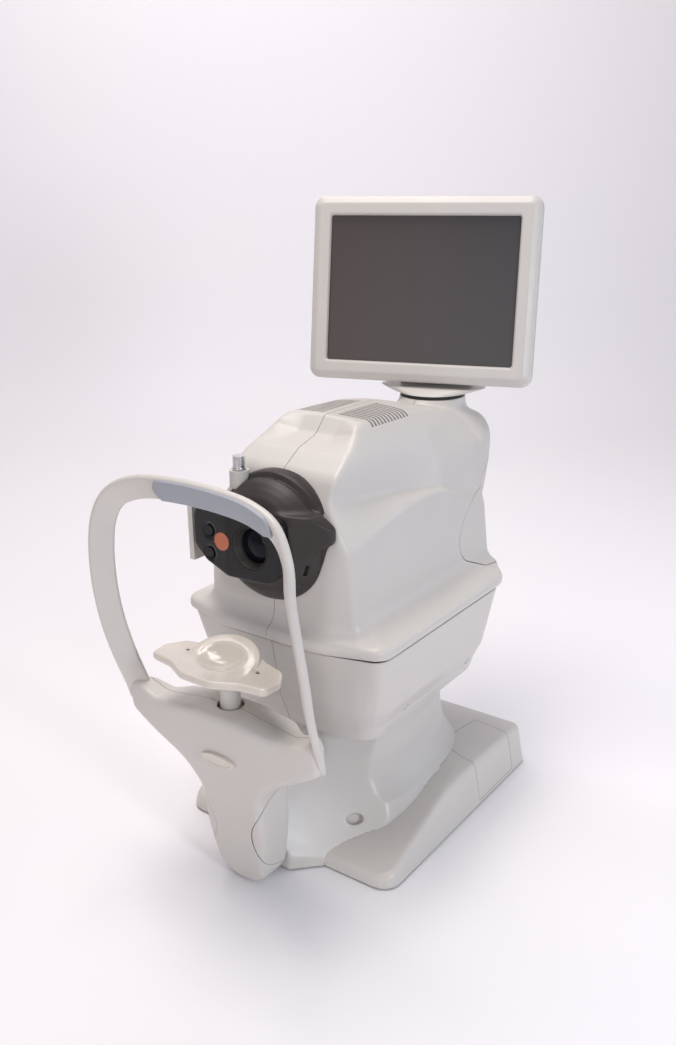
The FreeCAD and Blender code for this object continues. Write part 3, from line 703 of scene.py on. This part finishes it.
def build_head():
    s = Space((0, -176, 250), (130, 188, 466), 1.6)
    d = head_field(s)
    open_below = np.where(s.z < 259, d + 100, d)
    shell = np.maximum(d, -(open_below + WALL))
    shell = np.maximum(shell, 253.2 - s.z)
    head = s.mesh("head", shell)
    cutters = [tube((0, LENS_Z), "y", 61.0, (-200, -120), 96), tube((0, NECK_Y), "z", 13.0, (436, 460), 48)]
    combine(head, merge(cutters), "DIFFERENCE")
    slots = [vent_slot(side, -57 + i * SLOT_PITCH) for i in range(SLOT_COUNT) for side in (-1, 1)]
    combine(head, merge(slots), "DIFFERENCE")
    rear = copy_of(head, "head_rear_housing")
    combine(rear, across_prism(outline(rear_seam(0))), "INTERSECT")
    combine(head, across_prism(outline(rear_seam(SEAM))), "DIFFERENCE")
    drop_crumbs(rear)
    finish_mesh(rear)
    settle(rear, "head", SHELL, ["head_rear_cover"])
    split_halves(head, "head_housing", "head", ("head_cover_left", "head_cover_right"))


def rear_seam(gap):
    """Edge of the rear cover in the side view, grown by a gap."""
    upper = [(230, 374 + gap, 0), (152, 374 + gap, 0), (128, 356 + gap, 30), (86, 345 + gap, 40)]
    front = [(59 - gap, 325, 40), (49 - gap, 303, 24), (60 - gap, 284 - gap, 16)]
    lower = [(90, 271 - gap, 12), (130, 264 - gap, 0)]
    return [(230, 264 - gap, 0)] + upper + front + lower


def vent_slot(side, y):
    """Narrow slot across the roof whose outer end turns down over the edge."""
    line = [(9, 470), (9, 449), (38, 449), (42, 444), (50.5, 444), (50.5, 470)]
    wall = [(u * side, v) for u, v in line]
    return prism(wall, lambda u, v, w: (u, w, v), (y - SLOT_HALF, y + SLOT_HALF))


# ------------------------------------------------------------------ lens hood and face plate
WING_EDGE = [(-28, 318, 22), (20, 321, 14), (34, 333, 12), (50, 351, 14), (74, 364, 6), (75, 379, 6),
             (58, 391, 12), (-58, 391, 12), (-73, 380, 14), (-73, 341, 12), (-58, 327, 14)]
PLATE_EDGE = [(-30, 320, 20), (20, 322, 26), (40, 338, 16), (40, 389, 10), (-59, 389, 10), (-75.5, 379, 14),
              (-75.5, 343, 10), (-59, 330, 14)]


def wing_front(s):
    """Front of the wings: nearly flat on the left, swept back on the right."""
    left = 0.10 * np.clip(-s.x - 30, 0, 60)
    right = 0.0105 * np.clip(s.x - 30, 0, 60) ** 2
    return left + right


def build_hood():
    """Bell round the objective with two wings, and two slots and a dimple on its right."""
    s = Space((-90, -192, 284), (90, -134, 426), 1.05, False)
    r = np.hypot(s.x, s.z - LENS_Z)
    ring = ramp(s.y, [(-192, 38), (-180, 46), (-172, 53.5), (-166, 58), (-160, 61), (-157, 62),
                      (-153.5, 65.8),
                      (-148, 67), (-134, 66)])
    groove = 2.4 * np.exp(-((s.y + 156) / 2.0) ** 2)
    bell = smooth_max(r - ring + groove, -(s.y + 180), 3)
    wing = polygon(outline(WING_EDGE), s.x, s.z)
    wing = smooth_max(smooth_max(wing, -(s.y + 182 - wing_front(s)), 3), s.y + 152, 5)
    outer = smooth_min(bell, wing, 5)
    hollow = np.maximum(r - ramp(s.y, [(-180, 26), (-170, 40), (-158, 54), (-148, 60), (-134, 60)]),
                        -(s.y + 176))
    field = smooth_max(outer, -hollow, 1.0)
    dimple = ball(s, (59, -151, 385), 5.0)
    field = smooth_max(field, -dimple, 1.0)
    field = np.maximum(field, s.y + 138)
    hood = s.mesh("lens_hood_moulding", field)
    cutters = [tube((0, LENS_Z), "y", 22.0, (-200, -150), 64)]
    for low in (311, 332):
        cutters.append(block((40, -172, low), (90, -168.6, low + 11)))
    combine(hood, merge(cutters), "DIFFERENCE")
    drop_crumbs(hood)
    finish_mesh(hood)
    settle(hood, "head", MATERIALS["hood_black"], ["lens_hood"])


def build_face_plate():
    """Glossy plate in front of the hood, with the lens opening, the sensor and two lamp pits."""
    s = Space((-80, -194, 314), (46, -168, 396), 0.8, False)
    plan = polygon(outline(PLATE_EDGE), s.x, s.z)
    front = -(s.y + 190 - wing_front(s))
    plate = smooth_max(smooth_max(plan, front, 2.4), s.y + 182.4 - wing_front(s), 1.0)
    for z in LAMP_HEIGHTS:
        plate = smooth_max(plate, -ball(s, (LAMP_X, -197, z), 12.5), 1.2)
    piece = s.mesh("face_plate_moulding", plate)
    cutters = [tube((0, LENS_Z), "y", 21.6, (-200, -150), 64),
               tube((SENSOR_X, LENS_Z), "y", 9.2, (-200, -150), 40)]
    for z in LAMP_HEIGHTS:
        cutters.append(tube((LAMP_X, z), "y", 5.2, (-200, -150), 32))
    combine(piece, merge(cutters), "DIFFERENCE")
    drop_crumbs(piece)
    finish_mesh(piece)
    settle(piece, "head", MATERIALS["face_black"], ["face_plate"])


# ------------------------------------------------------------------ chin column
ARM = [(12, 2, 30), (30, 15, 26), (37, 64, 160), (38, 112, 30), (54, 139, 60), (90, 160, 60),
       (119, 178, 12), (125, 190, 12), (120, 209, 4), (108, 208, 6), (80, 199.5, 20), (24, 208, 10)]
COLUMN_PROFILE = [(-204, -10, 0), (-184, -10, 0), (-186, 110, 10), (-204, 140, 24), (-206, 230, 0),
                  (-256, 230, 0),
                  (-254, 200, 60), (-246, 150, 60), (-235, 100, 60), (-229, 46, 60), (-221, 2, 14)]
COLUMN_PLAN = [(60, -180, 0), (66, -214, 30), (104, -222, 8), (119, -237, 4), (116, -248, 6),
               (40, -256, 60)]


def chin_field(s):
    front = polygon(outline(mirrored(ARM)), s.x, s.z)
    side = polygon(outline(COLUMN_PROFILE), s.y, s.z)
    plan = polygon(outline(mirrored(COLUMN_PLAN)), s.x, s.y)
    return smooth_max(smooth_max(front, side, 9), plan, 7)


def cheek_ball(side, grow):
    """Squat ball whose cut through the column's corner leaves a round seam."""
    bm = bmesh.new()
    bmesh.ops.create_uvsphere(bm, u_segments=96, v_segments=64, radius=1.0)
    size = Matrix.Diagonal(((75 + grow) * MM, (72 + grow) * MM, (62 + grow) * MM, 1.0))
    bmesh.ops.transform(bm, matrix=Matrix.Translation(Vector((side * 74, -178, 72)) * MM) @ size,
                        verts=bm.verts)
    mesh = bpy.data.meshes.new("cutter")
    bm.to_mesh(mesh)
    bm.free()
    return add("cutter", mesh)


def back_seam(gap):
    """Edge of the column's rear moulding in the side view, moved back by a gap."""
    return [(-229.8 + gap, 260, 0), (-229.8 + gap, 152, 8), (-198 + gap, 134, 8), (-194 + gap, -20, 0),
            (-100, -20, 0), (-100, 260, 0)]


def build_chin_column():
    s = Space((0, -260, 0), (128, -180, 212), 1.4)
    d = chin_field(s)
    shell = np.maximum(d, -(d + WALL))
    column = s.mesh("chin_column", shell)
    combine(column, tube((0, -227), "z", 13.4, (150, 240), 48), "DIFFERENCE")
    cheeks = copy_of(column, "chin_side_mouldings")
    combine(cheeks, merge([cheek_ball(side, 0) for side in (-1, 1)]), "INTERSECT")
    combine(column, merge([cheek_ball(side, SEAM) for side in (-1, 1)]), "DIFFERENCE")
    rear = copy_of(column, "chin_rear_moulding")
    combine(rear, across_prism(outline(back_seam(SEAM))), "INTERSECT")
    combine(column, across_prism(outline(back_seam(0))), "DIFFERENCE")
    column.name = "chin_front_moulding"
    for piece, node in ((column, "chin_front_cover"), (rear, "chin_rear_cover"),
                        (cheeks, "chin_side_covers")):
        drop_crumbs(piece, 0.05)
        finish_mesh(piece)
        settle(piece, "base", SHELL, [node])


def build_badge():
    s = Space((0, -4, -9), (23, 3, 9), 0.4)
    plate = (np.hypot(s.x / 20.5, s.z / 7.0) - 1) * 7.0
    rim = smooth_max(np.abs(plate + 0.9) - 0.7, np.abs(s.y) - 1.9, 0.4)
    body = smooth_min(smooth_max(plate, np.abs(s.y) - 1.2, 0.6), rim, 0.5)
    piece = s.mesh("badge_plate", body)
    finish_mesh(piece)
    lean = Matrix.Rotation(math.radians(9), 4, "X")
    piece.data.transform(Matrix.Translation(Vector((0, -248.4, 157)) * MM) @ lean)
    settle(piece, "base", MATERIALS["gloss_cream"], ["badge_blank"])


# ------------------------------------------------------------------ head-rest arch
ARCH_W = 24.0
ARCH_T = 8.0
ARCH_STEPS = 180
PAD_RIGHT = 88.0
PAD_LEFT = -44.0
ARCH_KEYS = [(101, -226, 174), (101, -234, 204), (103, -246, 240), (105.5, -256, 280), (104.5, -263, 320),
             (101, -266, 358), (98, -264, 383), (88, -263, 400), (66, -262, 410), (30, -262, 415)]


def arch_path(count):
    """Evenly spaced points along the arch."""
    keys = [Vector(k) for k in ARCH_KEYS] + [Vector((-k[0], k[1], k[2])) for k in reversed(ARCH_KEYS)]
    dense = []
    for i in range(len(keys) - 1):
        before = keys[max(i - 1, 0)]
        after = keys[min(i + 2, len(keys) - 1)]
        for s in range(24):
            t = s / 24
            dense.append(catmull(before, keys[i], keys[i + 1], after, t))
    dense.append(keys[-1])
    lengths = [0.0]
    for a, b in zip(dense, dense[1:]):
        lengths.append(lengths[-1] + (b - a).length)
    even = []
    for i in range(count):
        target = lengths[-1] * i / (count - 1)
        even.append(Vector([np.interp(target, lengths, [p[axis] for p in dense]) for axis in range(3)]))
    return even


def catmull(p0, p1, p2, p3, t):
    """Centripetal spline between p1 and p2."""
    t0 = 0.0
    t1 = t0 + math.sqrt(max((p1 - p0).length, 1e-3))
    t2 = t1 + math.sqrt((p2 - p1).length)
    t3 = t2 + math.sqrt(max((p3 - p2).length, 1e-3))
    u = t1 + (t2 - t1) * t
    a1 = p0 * ((t1 - u) / (t1 - t0)) + p1 * ((u - t0) / (t1 - t0))
    a2 = p1 * ((t2 - u) / (t2 - t1)) + p2 * ((u - t1) / (t2 - t1))
    a3 = p2 * ((t3 - u) / (t3 - t2)) + p3 * ((u - t2) / (t3 - t2))
    b1 = a1 * ((t2 - u) / (t2 - t0)) + a2 * ((u - t0) / (t2 - t0))
    b2 = a2 * ((t3 - u) / (t3 - t1)) + a3 * ((u - t1) / (t3 - t1))
    return b1 * ((t2 - u) / (t2 - t1)) + b2 * ((u - t1) / (t2 - t1))


def strip_axes(outward):
    """Directions across and through the band, which turns to face the patient at the top."""
    tilt = math.radians(45 + 25 * max(0.0, outward.z) ** 2)
    across = outward * math.sin(tilt) - Vector((0, 1, 0)) * math.cos(tilt)
    through = outward * math.cos(tilt) + Vector((0, 1, 0)) * math.sin(tilt)
    return across, through


def sweep(name, centres, outwards, section, scales):
    """Skins a flat section (across, through) along the arch."""
    bm = bmesh.new()
    rings = []
    for centre, outward, scale in zip(centres, outwards, scales):
        across, through = strip_axes(outward)
        ring = [bm.verts.new((centre + across * u * scale + through * v * scale) * MM) for u, v in section]
        rings.append(ring)
    for a, b in zip(rings, rings[1:]):
        for i in range(len(section)):
            j = (i + 1) % len(section)
            bm.faces.new((a[i], a[j], b[j], b[i]))
    bm.faces.new(rings[0])
    bm.faces.new(rings[-1])
    bmesh.ops.recalc_face_normals(bm, faces=bm.faces)
    mesh = bpy.data.meshes.new(name)
    bm.to_mesh(mesh)
    bm.free()
    return add(name, mesh)


def arch_centres(points):
    """Middle of the band and its outward direction at each point of the path."""
    last = len(points) - 1
    centres = []
    outwards = []
    for i, point in enumerate(points):
        run = points[min(i + 1, last)] - points[max(i - 1, 0)]
        outward = Vector((run.z, 0, -run.x)).normalized()
        across, through = strip_axes(outward)
        outwards.append(outward)
        centres.append(point + across * ARCH_W / 2 + through * ARCH_T / 2)
    return centres, outwards


def build_arch():
    """Band with rounded ends."""
    points = arch_path(ARCH_STEPS)
    centres, outwards = arch_centres(points)
    w = ARCH_W / 2
    t = ARCH_T / 2
    section = outline([(-w, -t, 2.6), (w, -t, 3.2), (w, t, 3.6), (-w, t, 3.0)], 5)
    rounding = 6
    scales = []
    for i in range(ARCH_STEPS):
        share = min(1.0, (min(i, ARCH_STEPS - 1 - i) + 0.6) / rounding)
        scales.append(math.sin(math.pi / 2 * share) ** 0.5)
    arch = sweep("headrest_band", centres, outwards, section, scales)
    finish_mesh(arch, 40, 0)
    settle(arch, "base", SHELL, ["headrest_arch"])


def build_pad():
    """Crowned cushion on the band's patient side, tapered at both ends."""
    points = arch_path(ARCH_STEPS)
    centres, outwards = arch_centres(points)
    first = next(i for i in range(ARCH_STEPS // 4, ARCH_STEPS) if points[i].x < PAD_RIGHT)
    last = next(i for i in range(ARCH_STEPS // 3, ARCH_STEPS) if points[i].x < PAD_LEFT)
    pad_centres = []
    scales = []
    for i in range(first, last):
        across, through = strip_axes(outwards[i])
        pad_centres.append(centres[i] - through * (ARCH_T / 2 + 0.9))
        share = (i - first) / (last - 1 - first)
        scales.append(min(1.0, math.sin(math.pi * share) * 5 + 0.12) ** 0.6)
    pad_section = outline([(-10.8, -1.9, 1.6), (10.8, -1.9, 1.6), (10.8, 1.7, 0.4), (-10.8, 1.7, 0.4)], 5)
    pad = sweep("forehead_cushion", pad_centres, outwards[first:last], pad_section, scales)
    finish_mesh(pad, 50, 0)
    settle(pad, "base", MATERIALS["pad_grey"], ["forehead_pad"])


# ------------------------------------------------------------------ chin rest
def build_chin_rest():
    s = Space((0, -280, 244), (80, -198, 276), 0.8)
    wing_edge = [(18, -275, 20), (42, -263, 18), (70, -259, 7), (72, -238, 8), (60, -220, 12),
                 (38, -214, 16),
                 (16, -204, 10)]
    wing = polygon(outline(mirrored(wing_edge)), s.x, s.y)
    plate = smooth_max(smooth_max(wing, s.z - 257, 3.2), 248.6 - s.z, 4.5)
    lobe = np.hypot(s.x / 1.25, s.y + 236) - 31
    raised = smooth_max(smooth_max(lobe, s.z - (252 + 0.36 * np.clip(s.y + 262, 0, 60)), 4), 249 - s.z, 3)
    solid = smooth_min(plate, raised, 4)
    cup = np.sqrt((s.x / 1.35) ** 2 + (s.y + 242) ** 2 + ((s.z - 283) / 1.1) ** 2) - 27.5
    solid = smooth_max(solid, -cup, 2.0)
    piece = s.mesh("chin_rest_tray", solid)
    holes = [tube((x, -236), "z", 1.9, (240, 280), 24) for x in (-43.4, 43.4)]
    combine(piece, merge(holes), "DIFFERENCE")
    drop_crumbs(piece)
    finish_mesh(piece)
    settle(piece, "chin", MATERIALS["gloss_cream"], ["chin_rest"])


# ------------------------------------------------------------------ monitor
def monitor_matrix(tilt):
    return Matrix.Rotation(MONITOR_YAW, 4, "Z") @ Matrix.Rotation(-tilt, 4, "X")


def rounded_frame(s, half_w, half_h, radius):
    qx = np.abs(s.x) - (half_w - radius)
    qz = np.abs(s.z) - (half_h - radius)
    return np.hypot(np.maximum(qx, 0), np.maximum(qz, 0)) + np.minimum(np.maximum(qx, qz), 0) - radius


def build_bezel(place):
    s = Space((0, -4, -108), (134, 22, 108), 1.0)
    outer = rounded_frame(s, MONITOR_W / 2, MONITOR_H / 2, 13)
    front = -(s.y + 1.5) + 0.55 * np.clip(outer + 9, 0, 9)
    frame_shape = smooth_max(smooth_max(outer, front, 4), s.y - 17, 1.0)
    opening = rounded_frame(s, SCREEN_W / 2, SCREEN_H / 2, 2.5) - 0.55 * np.clip(1.6 - s.y, 0, 4)
    frame_shape = smooth_max(frame_shape, -opening, 1.4)
    hollow = smooth_max(outer + WALL, 4.6 - s.y, 1)
    frame_shape = np.maximum(frame_shape, -hollow)
    bezel = s.mesh("monitor_front_frame", frame_shape)
    finish_mesh(bezel)
    bezel.data.transform(place)
    settle(bezel, "monitor", SHELL, ["monitor_bezel"])


def build_monitor_back(place):
    s = Space((0, 16, -108), (134, 44, 108), 1.2)
    draft = ramp(s.y, [(16, 0), (24, 3), (30, 9), (40, 26), (44, 34)])
    body = rounded_frame(s, MONITOR_W / 2 - 0.4, MONITOR_H / 2 - 0.4, 13) + draft
    body = smooth_max(smooth_max(body, s.y - 40, 5), 17.6 - s.y, 0.8)
    inner = np.maximum(body + WALL, 16.5 - s.y)
    back = s.mesh("monitor_rear_housing", np.maximum(body, -np.where(s.y < 22, body + WALL, inner)))
    slots = [block((x - 4.5, 34, z), (x + 4.5, 50, z + 2.6)) for z in (38, 46) for x in range(-80, 81, 16)]
    combine(back, merge(slots), "DIFFERENCE")
    drop_crumbs(back)
    finish_mesh(back)
    back.data.transform(place)
    settle(back, "monitor", SHELL, ["monitor_back_cover"])


def build_swivel():
    s = Space((-66, -42, 446), (66, 42, 476), 0.9, False)
    share = np.clip((s.z - 447.5) / 7, 0, 1)
    half_x = 37 + 26 * share ** 0.7
    half_y = 37 - 10 * share
    shift = 2 * share
    squash = np.sqrt((s.x / half_x) ** 2 + ((s.y - shift) / half_y) ** 2)
    hump = (squash - 1) * np.minimum(half_x, half_y)
    hump = smooth_max(smooth_max(hump, s.z - 454.4, 1.2), 447.5 - s.z, 0.6)
    ear_side = polygon(outline([(12.6, 448, 0), (27.4, 448, 0), (27.4, 470.2, 7), (12.6, 470.2, 7)]),
                       s.y, s.z)
    ears = smooth_max(ear_side, np.abs(np.abs(s.x) - 37) - 5, 1.2)
    field = smooth_min(hump, ears, 2.5)
    piece = s.mesh("monitor_swivel_dome", field)
    combine(piece, tube((TILT_AXIS_BACK, TILT_AXIS_Z), "x", 3.4, (-60, 60), 32), "DIFFERENCE")
    spindle = tube((0, 0), "z", 11.6, (432, 449), 48)
    combine(piece, spindle, "UNION")
    drop_crumbs(piece)
    finish_mesh(piece)
    piece.data.transform(Matrix.Translation(Vector((0, NECK_Y * MM, 0))) @ monitor_matrix(0))
    settle(piece, "swivel", SHELL, ["monitor_swivel_base"])


# ------------------------------------------------------------------ studio
ROOM_TURN = math.radians(35.8)
AHEAD = Vector((-0.585, 0.811, 0))
RIGHT = Vector((0.811, 0.585, 0))


def build_studio():
    """Pale floor that curves up into a wall behind the object, far enough back to walk round."""
    bm = bmesh.new()
    sweep_line = [(-5.0, 0.0), (1.50, 0.0), (1.70, 0.02), (1.84, 0.09), (1.92, 0.24), (1.96, 0.6),
                  (1.96, 3.4)]
    rows = []
    for y, z in sweep_line:
        rows.append([bm.verts.new((x, y, z)) for x in (-5.0, 5.0)])
    for a, b in zip(rows, rows[1:]):
        bm.faces.new((a[0], a[1], b[1], b[0]))
    mesh = bpy.data.meshes.new("studio_floor")
    bm.to_mesh(mesh)
    bm.free()
    floor = add("studio_floor", mesh)
    floor.data.transform(Matrix.Rotation(ROOM_TURN, 4, "Z"))
    for face in floor.data.polygons:
        face.use_smooth = True
    floor.modifiers.new("round", "SUBSURF").levels = 2
    material, nodes, links, shader = new_material("studio_paper")
    coords = nodes.new("ShaderNodeTexCoord")
    mottle = noise(nodes, links, coords, 1.4, 3.0)
    base = mix_colour(nodes, links, mottle.outputs["Fac"], (0.92, 0.89, 0.90), (0.88, 0.88, 0.91))
    links.new(base, shader.inputs["Base Color"])
    shader.inputs["Roughness"].default_value = 0.7
    floor.data.materials.append(material)


def add_light(name, place, aim, size, power, colour):
    data = bpy.data.lights.new(name, "AREA")
    data.shape = "RECTANGLE"
    data.size = size[0]
    data.size_y = size[1]
    data.energy = power
    data.color = colour
    lamp = bpy.data.objects.new(name, data)
    lamp.location = place
    lamp.rotation_euler = (Vector(aim) - Vector(place)).to_track_quat("-Z", "Y").to_euler()
    bpy.context.scene.collection.objects.link(lamp)


def spot(ahead, right, height):
    """Place in the room, as the camera's own ahead and right see it."""
    return AHEAD * ahead + RIGHT * right + Vector((0, 0, height))


def build_lights():
    middle = spot(0, 0, 0.35)
    add_light("ceiling_soft", spot(-0.1, -0.3, 2.2), middle, (1.0, 0.9), 23, (1.0, 0.935, 0.885))
    add_light("window_cool", spot(-1.45, 0.85, 0.74), middle, (0.26, 0.30), 8.6, (0.84, 0.90, 1.0))
    add_light("fill_cool", spot(0.1, 1.3, 0.55), spot(0, 0, 0.21), (0.8, 0.7), 2.6, (0.80, 0.88, 1.0))
    add_light("fill_warm", spot(-1.5, -0.9, 0.6), middle, (1.0, 0.9), 4.4, (1.0, 0.93, 0.90))
    add_light("wall_wash", spot(0.9, -0.5, 2.3), spot(1.9, 0, 0.5), (1.6, 0.6), 16.5, (1.0, 0.95, 0.98))
    world = bpy.data.worlds.new("studio_air")
    world.use_nodes = True
    world.node_tree.nodes["Background"].inputs["Color"].default_value = (0.93, 0.94, 1.0, 1)
    world.node_tree.nodes["Background"].inputs["Strength"].default_value = 0.30
    bpy.context.scene.world = world


def build_camera():
    """Camera at the photograph's angle."""
    yaw = 0.6246
    pitch = 0.3289
    roll = -0.0111
    ahead = Vector((-math.sin(yaw) * math.cos(pitch), math.cos(yaw) * math.cos(pitch), -math.sin(pitch)))
    right = Vector((math.cos(yaw), math.sin(yaw), 0))
    up = right.cross(ahead)
    right_rolled = right * math.cos(roll) + up * math.sin(roll)
    up_rolled = up * math.cos(roll) - right * math.sin(roll)
    data = bpy.data.cameras.new("camera")
    data.sensor_width = 36
    data.lens = 35.495
    data.clip_end = 30
    camera = bpy.data.objects.new("camera", data)
    rotation = Matrix((right_rolled, up_rolled, -ahead)).transposed().to_4x4()
    camera.matrix_world = Matrix.Translation(Vector((0.59815, -0.87772, 0.68970))) @ rotation
    bpy.context.scene.collection.objects.link(camera)
    bpy.context.scene.camera = camera
    bpy.context.scene.view_settings.view_transform = "Standard"


build_base()
build_pedestal()
build_skirt()
build_head()
build_hood()
build_face_plate()
build_chin_column()
build_badge()
build_arch()
build_pad()
build_chin_rest()
monitor_place = Matrix.Translation(SCREEN_CENTRE * MM) @ monitor_matrix(MONITOR_TILT)
build_bezel(monitor_place)
build_monitor_back(monitor_place)
build_swivel()
build_studio()
build_lights()
build_camera()
